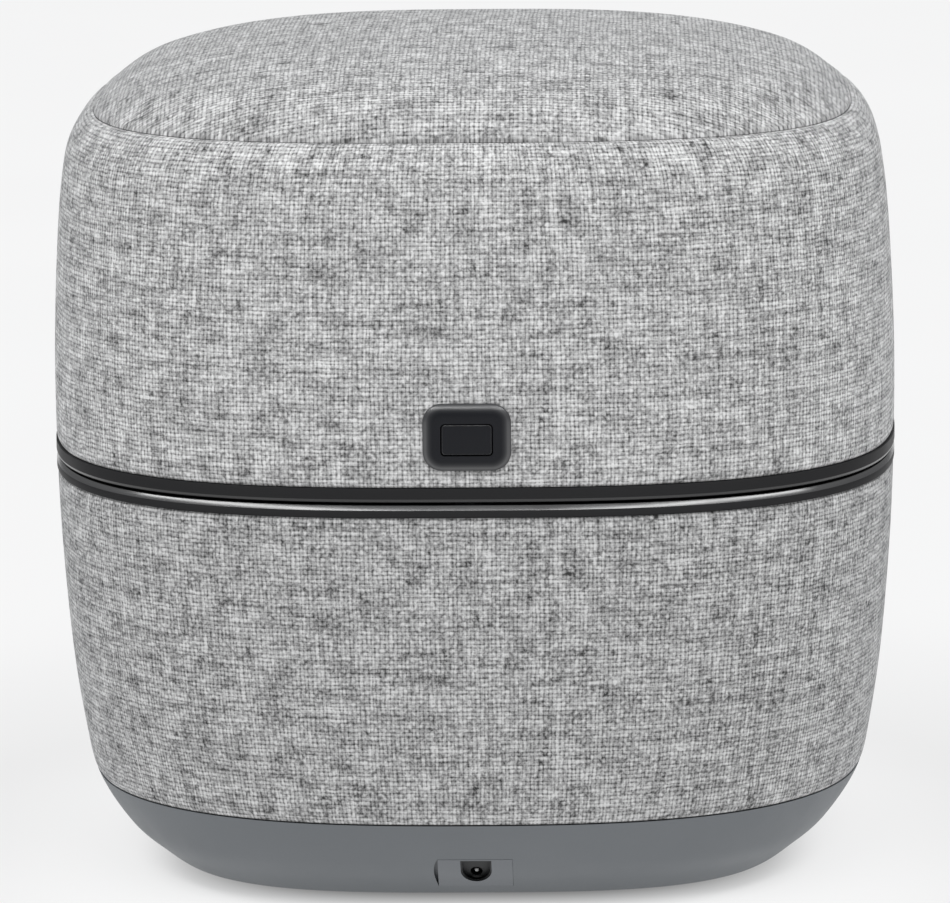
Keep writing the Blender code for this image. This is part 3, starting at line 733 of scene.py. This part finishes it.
def side_cover(name, low_height, high_height, tuck_low=0.0006, tuck_high=0.0006):
    """A band of fabric round the body. Its edges roll in over the last few threads."""
    spacing, roll_length = 0.0011, 0.0022
    groove_depth, groove_width = 0.0007, 0.0013
    places = places_between(low_height, high_height, spacing)
    points, normals = outline(places), inward(places)
    along = lengths_along(points)
    dip = tucked(along, tuck_low, roll_length) + tucked(along[-1] - along, tuck_high, roll_length)
    turn = seamed_turn()
    angles, count = turn[:-1], len(turn) - 1
    from_rear = np.abs(np.arctan2(np.sin(angles - REAR), np.cos(angles - REAR))) * LOWER_BAND
    rear_seam = groove_depth * np.clip(1 - from_rear / groove_width, 0, 1)
    rows = []
    for point, normal, depth in zip(points, normals, dip):
        half_width, height = point + normal * depth
        flat = plan(squareness(point[1]), angles) * (half_width - rear_seam)[:, None]
        rows.append(np.column_stack([flat, np.full(count, height)]))
    inside = back_rows(len(points))
    for point, normal in zip(points[inside], normals[inside]):
        half_width, height = point + normal * THICK
        flat = plan(squareness(point[1]), angles) * half_width
        rows.append(np.column_stack([flat, np.full(count, min(max(height, low_height), high_height))]))
    lengths_up = np.concatenate([along, along[inside]])
    lengths_round = lengths_along(plan(squareness(MIDDLE), turn) * LOWER_BAND)
    return skin(name, np.array(rows), closed_section=True, uv_u=lengths_round, uv_v=lengths_up)


def top_cover(name):
    """The domed top panel. Its weave lies flat across it, in line with the front."""
    spacing, roll_length, tuck = 0.0009, 0.0016, 0.00075
    seam_gap, edge_width = 0.00014, 0.0080
    weave_shift = 0.4
    places = places_between(SEAM + seam_gap, HEIGHT, spacing)
    edge_rows = int(edge_width / spacing)
    places = np.concatenate([places[:edge_rows], places[edge_rows::2]])
    if places[-1] < len(OUTLINE) - 1.0:
        places = np.append(places, len(OUTLINE) - 1.0)
    points, normals = outline(places), inward(places)
    dip = tucked(lengths_along(points), tuck, roll_length)
    inside = back_rows(len(points))
    section = [(*(p + n * depth), p[1]) for p, n, depth in zip(points, normals, dip)]
    section += [(*(p + n * THICK), p[1]) for p, n in zip(points[inside], normals[inside])]
    section = [(max(half_width, 0.0), height, level) for half_width, height, level in section]
    obj = merge(skin(name, body_rows(section), closed_section=True), 1e-6)
    corners = [obj.data.vertices[loop.vertex_index].co for loop in obj.data.loops]
    uvs = np.array([(corner.x + weave_shift, corner.y + weave_shift) for corner in corners], np.float32)
    obj.data.uv_layers.new(name="weave").data.foreach_set("uv", uvs.ravel())
    return obj


def covers():
    clear_width, clear_corner = 0.0006, 0.0002
    # The lower band takes the darker copy of the weave, painted shade.
    lower = side_cover("lower_cover", FABRIC_LOW, FABRIC_HIGH, tuck_low=0.0003)
    finish_piece(smooth(orient(lower)), "base", "heather_fabric", "lower_fabric", "lower_fabric")
    upper = side_cover("lid_side_cover", COVER_LOW, SEAM, tuck_high=0.00080)
    hole = rounded_rectangle(
        NECK_WIDTH + clear_width, NECK_HEIGHT + clear_width, NECK_CORNER + clear_corner, BEZEL_MIDDLE
    )
    cut(upper, through(hole, *LATCH_FRONT))
    finish_piece(smooth(orient(upper)), "lid", "heather_fabric", "fabric", "lid_side_fabric")
    # The top panel takes the darker copy of the weave, painted shade.
    top = top_cover("lid_top_cover")
    finish_piece(smooth(orient(top)), "lid", "heather_fabric", "top_fabric", "lid_top_fabric")


# Rims, base and inlet.


def polish(rim, finish, low_height, high_height, least_width):
    """Gives a polished finish to a rim's outer faces between two heights."""
    level_face, corner_share = 0.9, 0.78
    rim.data.materials.append(MATERIALS[finish])
    for face in rim.data.polygons:
        x, y, z = face.center
        sloping = abs(face.normal.z) < level_face and low_height < z < high_height
        far_out = max(abs(x), abs(y)) > least_width * corner_share
        if sloping and far_out and face.normal.x * x + face.normal.y * y > 0:
            face.material_index = 1


def rims():
    """The lower rim with its wide chamfer, and the upper rim with its narrow bevel."""
    slot_clear, slot_front, margin = 0.0004, 0.1212, 0.00001
    # The chamfer, in from the edge and down from the top; the bevel, in from the edge and up.
    chamfer = ((0.0, 0.00150), (0.00004, 0.00142), (0.00078, 0.00008), (0.00086, 0.0))
    bevel = ((0.00050, 0.0), (0.00044, 0.00004), (0.00012, 0.00050), (0.00002, 0.00096), (0.0, 0.00104))

    inner, inner_ease, edge, ease = 0.1270, 0.0003, LOWER_BAND, 0.0004
    bottom, top = LOWER_TRIM_LOW, LOWER_TRIM_HIGH
    section = [(inner, bottom), (edge - ease, bottom)]
    section += arc((edge - ease, bottom + ease), ease, -90, 0, 4)
    section += [(edge - inset, top - drop) for inset, drop in chamfer]
    section += [(inner + inner_ease, top), (inner, top - inner_ease)]
    lower = ring_piece("lower_rim", section)
    cut(lower, slot_tool(LEAF + slot_clear, slot_front, PAST_BODY, 0.132))
    finish_piece(smooth(lower), "base", "dark_trim", "trim", "lower_trim")
    polish(lower, "chamfer", top - chamfer[1][1] + margin, top - margin, edge - 0.0015)

    inner, edge, ease = 0.1174, UPPER_BAND, 0.0001
    bottom, top = UPPER_TRIM_LOW, UPPER_TRIM_HIGH
    section = [(inner, bottom)] + [(edge - inset, bottom + rise) for inset, rise in bevel]
    section += [(edge, top - ease), (edge - ease, top), (inner, top)]
    upper = ring_piece("upper_rim", section)
    above, hook_half, hook_front, hook_back = 0.136, 0.0076, -0.1270, -0.115
    cut(upper, slot_tool(LEAF + slot_clear, slot_front, PAST_BODY, above))
    cut(upper, slot_tool(hook_half, hook_front, hook_back, above))
    finish_piece(smooth(upper), "lid", "dark_trim", "trim", "upper_trim")
    polish(upper, "bevel", bottom + margin, bottom + 0.00100, edge - 0.0010)


def port_opening():
    """The hole for the port plate: close round it, but bowed out into a crescent gap at its left end."""
    clear, bow, lean, steps = 0.00006, 0.0012, 0.8, 16
    left, right = low("jack_plate").x - clear, high("jack_plate").x + clear
    bottom, top = PORT_LOW - clear, PORT_HIGH + clear
    points = [(right, bottom), (right, top)]
    for share in np.linspace(0.0, 1.0, steps + 1):
        points.append((left - bow * math.sin(math.pi * share**lean), top + (bottom - top) * share))
    return points


def base():
    """The hollow base, with an opening for the port plate."""
    wall, under_ring = 0.0025, 0.05
    floor_ring, floor_high, lowest_inside = 0.0895, 0.0057, 0.006
    places = places_between(BASE_BOTTOM, BASE_TOP, 0.0012)
    points, normals = outline(places), inward(places)
    section = [(0.0, BASE_BOTTOM, 0.0), (under_ring, BASE_BOTTOM, 0.0)]
    section += [(p[0], p[1], p[1]) for p in points]
    inner = [(p[0] - wall / max(-n[0], 0.5), p[1], p[1]) for p, n in zip(points, normals)]
    section += [ring for ring in inner[::-1] if ring[1] > lowest_inside]
    section += [(floor_ring, floor_high, lowest_inside), (0.0, floor_high, 0.0)]
    shell = orient(merge(skin("base_cover", body_rows(section), closed_section=True), 1e-7))
    cut(shell, through(port_opening(), *BASE_FRONT))
    finish_piece(smooth(shell), "base", "base_plastic", "base", "base_pan")


def feet():
    ease = 0.0006
    for corner in ("front_left", "front_right", "rear_left", "rear_right"):
        foot_low, foot_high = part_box(f"foot_{corner}")
        middle = (foot_low + foot_high) / 2
        radius, top = (foot_high.x - foot_low.x) / 2, foot_high.z
        profile = [(0.0, 0.0), (radius - ease, 0.0)]
        profile += arc((radius - ease, ease), ease, -90, 0, 5)
        profile += [(radius, top), (0.0, top)]
        foot = turned(f"soft_foot_{corner}", profile, (0, 0, 1), (middle.x, middle.y, 0.0))
        finish_piece(smooth(foot), "base", "rubber", "rubber", f"foot_{corner}")


def pocket_outline(grow=0.0):
    """The pocket round the jack: a D on its back, flat along the top."""
    half, flat_top, round_centre = 0.0047 + grow, 0.0171 + grow, 0.0131
    corners = [(INLET_X + half, flat_top), (INLET_X - half, flat_top)]
    return corners + arc((INLET_X, round_centre), half, 180, 360, 32)


def inlet():
    """The port plate with its D-shaped pocket, and the jack with its pin."""
    left, right = low("jack_plate").x, high("jack_plate").x
    bottom, top = PORT_LOW - 0.002, PORT_HIGH + 0.002
    front, back = BASE_FRONT

    proud, plate_back = -0.00008, 0.0019
    plate = skin_band("port_plate", bottom, top, proud, plate_back)
    cut(plate, block((left, front, PORT_LOW), (right, back, PORT_HIGH)), "INTERSECT")
    # A flange behind the plate closes the crescent gap.
    flange_front, flange_back, flange_side, flange_edge = 0.0017, 0.0024, 0.0016, 0.0002
    flange = skin_band("tool", bottom, top, flange_front, flange_back)
    flange_low = (left - flange_side, front, PORT_LOW + flange_edge)
    cut(flange, block(flange_low, (right, back, PORT_HIGH - flange_edge)), "INTERSECT")
    cut(plate, flange, "UNION")
    cut(plate, through(pocket_outline(), front, back))
    # The plate takes the lighter copy of the base grey, painted light.
    finish_piece(smooth(plate, 30), "base", "base_plastic", "port", "jack_plate")

    lip_front, lip_clear, lip_width, floor_thick = 0.0004, 0.00003, 0.00050, 0.0015
    jack = skin_band("power_inlet", bottom, top, lip_front, POCKET_DEPTH + floor_thick)
    cut(jack, through(pocket_outline(-lip_clear), front, back), "INTERSECT")
    recess = skin_band("tool", bottom - 0.001, top + 0.001, -0.001, POCKET_DEPTH)
    cut(recess, through(pocket_outline(-lip_width), front, back), "INTERSECT")
    cut(jack, recess)
    hole, wall, depth, barrel_start = 0.0019, 0.0008, 0.0090, 0.0040
    skin_here = float(outline(places_between(INLET_Z, INLET_Z + 0.001, 0.0005))[0][0])
    pocket_floor = -skin_here + POCKET_DEPTH
    y_way = (0, 1, 0)
    barrel_place = (INLET_X, pocket_floor + barrel_start, INLET_Z)
    cut(jack, turned("tool", rod(hole + wall, 0.0, depth), y_way, barrel_place), "UNION")
    cut(jack, turned("tool", rod(hole, -0.006, depth), y_way, (INLET_X, pocket_floor, INLET_Z)))
    finish_piece(smooth(jack, 30), "base", "dark_satin", "inlet", "dc_jack")

    radius, pin_start, pin_end = (high("dc_jack_pin").x - low("dc_jack_pin").x) / 2, 0.0028, depth + 0.0009
    profile = [(0.0, 0.0)]
    for degrees in range(15, 91, 15):
        angle = math.radians(degrees)
        profile.append((radius * math.sin(angle), radius * (1 - math.cos(angle))))
    profile += [(radius, pin_end), (0.0, pin_end)]
    pin = turned("inlet_pin", profile, y_way, (INLET_X, pocket_floor + pin_start, INLET_Z), 32)
    finish_piece(smooth(pin), "base", "steel", "pin", "dc_jack_pin")


# Latch.


def latch():
    """The bezel with its domed rim, and the flat button in its opening."""
    bezel_low, bezel_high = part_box("latch_bezel")
    width, height = bezel_high.x - bezel_low.x, bezel_high.z - bezel_low.z
    front, seat = bezel_low.y, bezel_low.y + 0.0020
    land, edge, corner, steps = 0.0002, 0.0044, 0.0058, 16
    neck = rounded_rectangle(NECK_WIDTH, NECK_HEIGHT, NECK_CORNER, BEZEL_MIDDLE)
    sections = [(bezel_high.y, neck), (seat, neck)]
    sections.append((seat, rounded_rectangle(width, height, corner, BEZEL_MIDDLE)))
    for step in range(steps + 1):
        angle = math.radians(90 * step / steps)
        inset, rise = edge * (1 - math.cos(angle)), (seat - land - front) * math.sin(angle)
        ring = rounded_rectangle(width - 2 * inset, height - 2 * inset, corner - inset, BEZEL_MIDDLE)
        sections.append((seat - land - rise, ring))
    bezel = along_y("latch_surround", sections)

    button_low, button_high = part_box("latch_button")
    width, height = button_high.x - button_low.x, button_high.z - button_low.z
    gap, corner, ease, rear, steps = 0.0003, 0.0010, 0.00045, -0.1287, 6
    hole = rounded_rectangle(width + 2 * gap, height + 2 * gap, corner + gap, BUTTON_MIDDLE)
    cut(bezel, through(hole, *LATCH_FRONT))
    finish_piece(smooth(bezel, 30), "lid", "dark_satin", "satin", "latch_bezel")

    sections = [(rear, rounded_rectangle(width, height, corner, BUTTON_MIDDLE))]
    for step in range(steps + 1):
        angle = math.radians(90 * step / steps)
        inset = ease * (1 - math.cos(angle))
        ring = rounded_rectangle(width - 2 * inset, height - 2 * inset, corner, BUTTON_MIDDLE)
        sections.append((button_low.y + ease * (1 - math.sin(angle)), ring))
    button = along_y("push_button", sections)
    stem_radius, stem_length, stem_front = 0.0015, 0.0061, -0.1290
    stem_place = (0, stem_front, BUTTON_MIDDLE)
    cut(button, turned("tool", rod(stem_radius, 0.0, stem_length), (0, 1, 0), stem_place, 32), "UNION")
    finish_piece(smooth(button, 30), "button", "dark_satin", "satin", "latch_button")


def spring():
    """The button's return spring: a wire helix that the button squeezes towards its fixed end."""
    spring_low, spring_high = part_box("button_spring")
    wire, turns, steps, sides = 0.00018, 2.5, 28, 12
    radius = (spring_high.x - spring_low.x) / 2 - wire
    start, end = spring_low.y + wire, spring_high.y - wire
    middle = (spring_low.z + spring_high.z) / 2
    y_way = np.array([0.0, 1.0, 0.0])
    rows = []
    for share in np.linspace(0.0, 1.0, int(turns * steps) + 1):
        angle = 2 * math.pi * turns * share
        out = np.array([math.cos(angle), 0.0, math.sin(angle)])
        centre = out * radius + np.array([0.0, start + (end - start) * share, middle])
        ring_angles = np.linspace(0.0, 2 * math.pi, sides, endpoint=False)
        rows.append([centre + wire * (math.cos(a) * out + math.sin(a) * y_way) for a in ring_angles])
    coil = cap(skin("return_spring", np.array(rows)), sides)
    finish_piece(smooth(orient(coil)), "lid", "steel", "steel", "button_spring")
    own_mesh(coil)


# The inside, seen with the lid open.


def well_and_deck():
    """The tray: a storage well with rounded rims, its deck, and the ledge that carries it."""
    floor_low, deck = low("inner_tray").z, high("inner_tray").z
    sheet = 0.0020
    floor_high, deck_low = floor_low + sheet, deck - sheet
    ledge_high, ledge_low = 0.1258, 0.1238
    wall, taper, edge, ledge = 0.0750, 0.001, 0.1168, high("inner_tray").x
    square, trim_square = 5.5, squareness(MIDDLE)
    corner, rim, lip = 0.0010, 0.0016, 0.0005
    foot = arc((wall - taper - corner, floor_high + corner), corner, -90, 0, 5)
    bead = arc((wall + taper + rim, deck - rim), rim, 180, 90, 7)
    rings = [(x, z, square) for x, z in foot + bead]
    rings += [(x, z, trim_square) for x, z in arc((edge - lip, deck - lip), lip, 90, 0, 4)]
    ledge_section = [(edge, ledge_high), (ledge, ledge_high), (ledge, ledge_low), (edge - sheet, ledge_low)]
    rings += [(x, z, trim_square) for x, z in ledge_section + [(edge - sheet, deck_low)]]
    rings += [(wall + 0.003, deck_low, square), (wall + taper, floor_low, square)]
    tray = lofted("storage_tray", rings)
    # Slots for the latch hook and the hinge's leaf, and the ledge cut away along the front.
    beyond, ledge_top = 0.1300, 0.1262
    hook_half, hook_back, hook_top = 0.0083, -0.1117, 0.131
    leaf_clear, leaf_front, ledge_back = 0.0003, 0.1180, -0.1170
    cut(tray, slot_tool(hook_half, -beyond, hook_back, hook_top))
    cut(tray, slot_tool(LEAF + leaf_clear, leaf_front, beyond, ledge_top))
    cut(tray, slot_tool(beyond, -beyond, ledge_back, ledge_top))
    finish_piece(smooth(tray, 30), "base", "inner_plastic", "inner", "inner_tray")

    mat_low, mat_high, half = low("well_mat").z, high("well_mat").z, high("well_mat").x
    section = [(half - 0.0006, mat_low), (half, mat_low + 0.0003), (half, mat_high - 0.0004)]
    section += [(half - 0.0002, mat_high - 0.0001), (half - 0.0007, mat_high)]
    mat = lofted("felt_mat", [(x, z, square) for x, z in section])
    finish_piece(smooth(mat, 60), "base", "mat_fabric", "felt", "well_mat")


def inner_rims():
    """The two half rings between the trim and the tray, with eased edges."""
    plate_low, plate_high = low("rim_plate_left").z, high("rim_plate_left").z
    inner, outer, ease = 0.1171, high("rim_plate_right").x, 0.0004
    half_gap, above = 0.00015, 0.132
    hook_half, hook_front, hook_back = 0.0086, -0.13, -0.11
    leaf_clear, leaf_front = 0.0004, 0.1212
    section = [(inner, plate_low), (outer, plate_low), (outer, plate_high - ease)]
    section += [(outer - ease, plate_high), (inner + ease, plate_high), (inner, plate_high - ease)]
    for side, left, right in (("left", -PAST_BODY, -half_gap), ("right", half_gap, PAST_BODY)):
        plate = ring_piece(f"inner_rim_{side}", section)
        half_space = block((left, -PAST_BODY, UNDER_RIMS), (right, PAST_BODY, PAST_BODY))
        cut(plate, half_space, "INTERSECT")
        cut(plate, slot_tool(hook_half, hook_front, hook_back, above))
        cut(plate, slot_tool(LEAF + leaf_clear, leaf_front, PAST_BODY, above))
        finish_piece(smooth(plate, 30), "base", "inner_plastic", "inner", f"rim_plate_{side}")


def lid_lining():
    """The liner's smooth inner dish, and the soft gasket round its mouth."""
    outer_depth, inner_depth, least_width = 0.0140, 0.0160, 0.004
    bottom = low("lid_liner").z
    places = places_between(bottom, HEIGHT, 0.0025)[:-1]
    points, normals = outline(places), inward(places)
    sides = []
    for depth in (outer_depth, inner_depth):
        section = [(*(p + n * depth), p[1]) for p, n in zip(points, normals)]
        section = [(x, max(z, bottom), level) for x, z, level in section if x > least_width]
        sides.append(body_rows(section + [(0.0, HEIGHT - depth, HEIGHT)]))
    dish = skin("lid_dish", np.concatenate([sides[0], sides[1][::-1]]), closed_section=True)
    finish_piece(smooth(orient(merge(dish, 1e-6))), "lid", "inner_plastic", "inner", "lid_liner")

    gasket_low, gasket_high = low("lid_gasket").z, high("lid_gasket").z
    inner, outer, bulge = 0.1125, high("lid_gasket").x, 0.0012
    middle, radius = (inner + outer) / 2, (outer - inner) / 2
    section = []
    for degrees in range(180, 361, 15):
        angle = math.radians(degrees)
        section.append((middle + radius * math.cos(angle), gasket_low + bulge + bulge * math.sin(angle)))
    gasket = ring_piece("soft_gasket", section + [(outer, gasket_high), (inner, gasket_high)])
    finish_piece(smooth(gasket), "lid", "rubber", "rubber", "lid_gasket")


def dress_cad_nodes():
    """Better materials for the CAD nodes that keep their shape."""
    by_slot = {
        "base_plastic": "base", "dark_satin": "satin", "inner_plastic": "inner", "rubber": "rubber",
        "mat_fabric": "felt", "circuit_board": "board", "aluminium": "aluminium", "steel": "steel",
        "cone_paper": "cone", "dark_trim": "trim",
    }
    for part in frame["record"]["subparts"]:
        name = part["node"]
        key = "hinge" if name.startswith("hinge_") else by_slot.get(part["material_slot"])
        if key:
            materials = frame["nodes"][name].data.materials
            materials.clear()
            materials.append(MATERIALS[key])


camera()
sky()
lamps()
pale_floor()
dress_cad_nodes()
covers()
rims()
base()
feet()
inlet()
latch()
spring()
well_and_deck()
inner_rims()
lid_lining()
